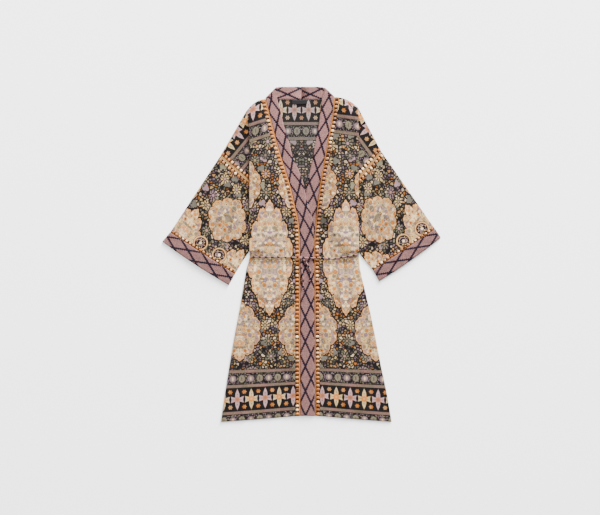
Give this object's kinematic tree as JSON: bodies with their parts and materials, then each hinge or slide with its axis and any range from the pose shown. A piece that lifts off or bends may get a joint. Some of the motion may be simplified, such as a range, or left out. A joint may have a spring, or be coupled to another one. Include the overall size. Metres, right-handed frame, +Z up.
{
  "type": "kimono coat",
  "caption": "Light printed kimono coat laid flat, with dropped shoulders, wide elbow sleeves, trellis-print bands and a narrow tie at the waist.",
  "frame": {"origin": "middle of the coat's outline, on the surface that it lies on", "axes": "+Y from hem to neck, +Z up out of the front, +X towards the wearer's left sleeve"},
  "size_m": [0.8353, 1.005, 0.0134],
  "materials": {
    "printed_cloth": "matt crepe, printed",
    "trellis_band_cloth": "matt crepe, printed trellis",
    "tie_cord": "turned cloth cord",
    "edging_thread": "thread and small glass beads",
    "label_cloth": "woven, plain"
  },
  "bodies": {
    "root": {"back": "printed_cloth", "front_right": "printed_cloth", "front_left": "printed_cloth", "sleeve_right": "printed_cloth", "sleeve_left": "printed_cloth", "cuff_right": "trellis_band_cloth", "cuff_left": "trellis_band_cloth", "band_right": "trellis_band_cloth", "band_left": "trellis_band_cloth", "label": "label_cloth", "tie_right": "tie_cord", "tie_left": "tie_cord", "tie_knot": "tie_cord", "tie_tail_right": "tie_cord", "tie_tail_left": "tie_cord"}
  },
  "joints": []
}
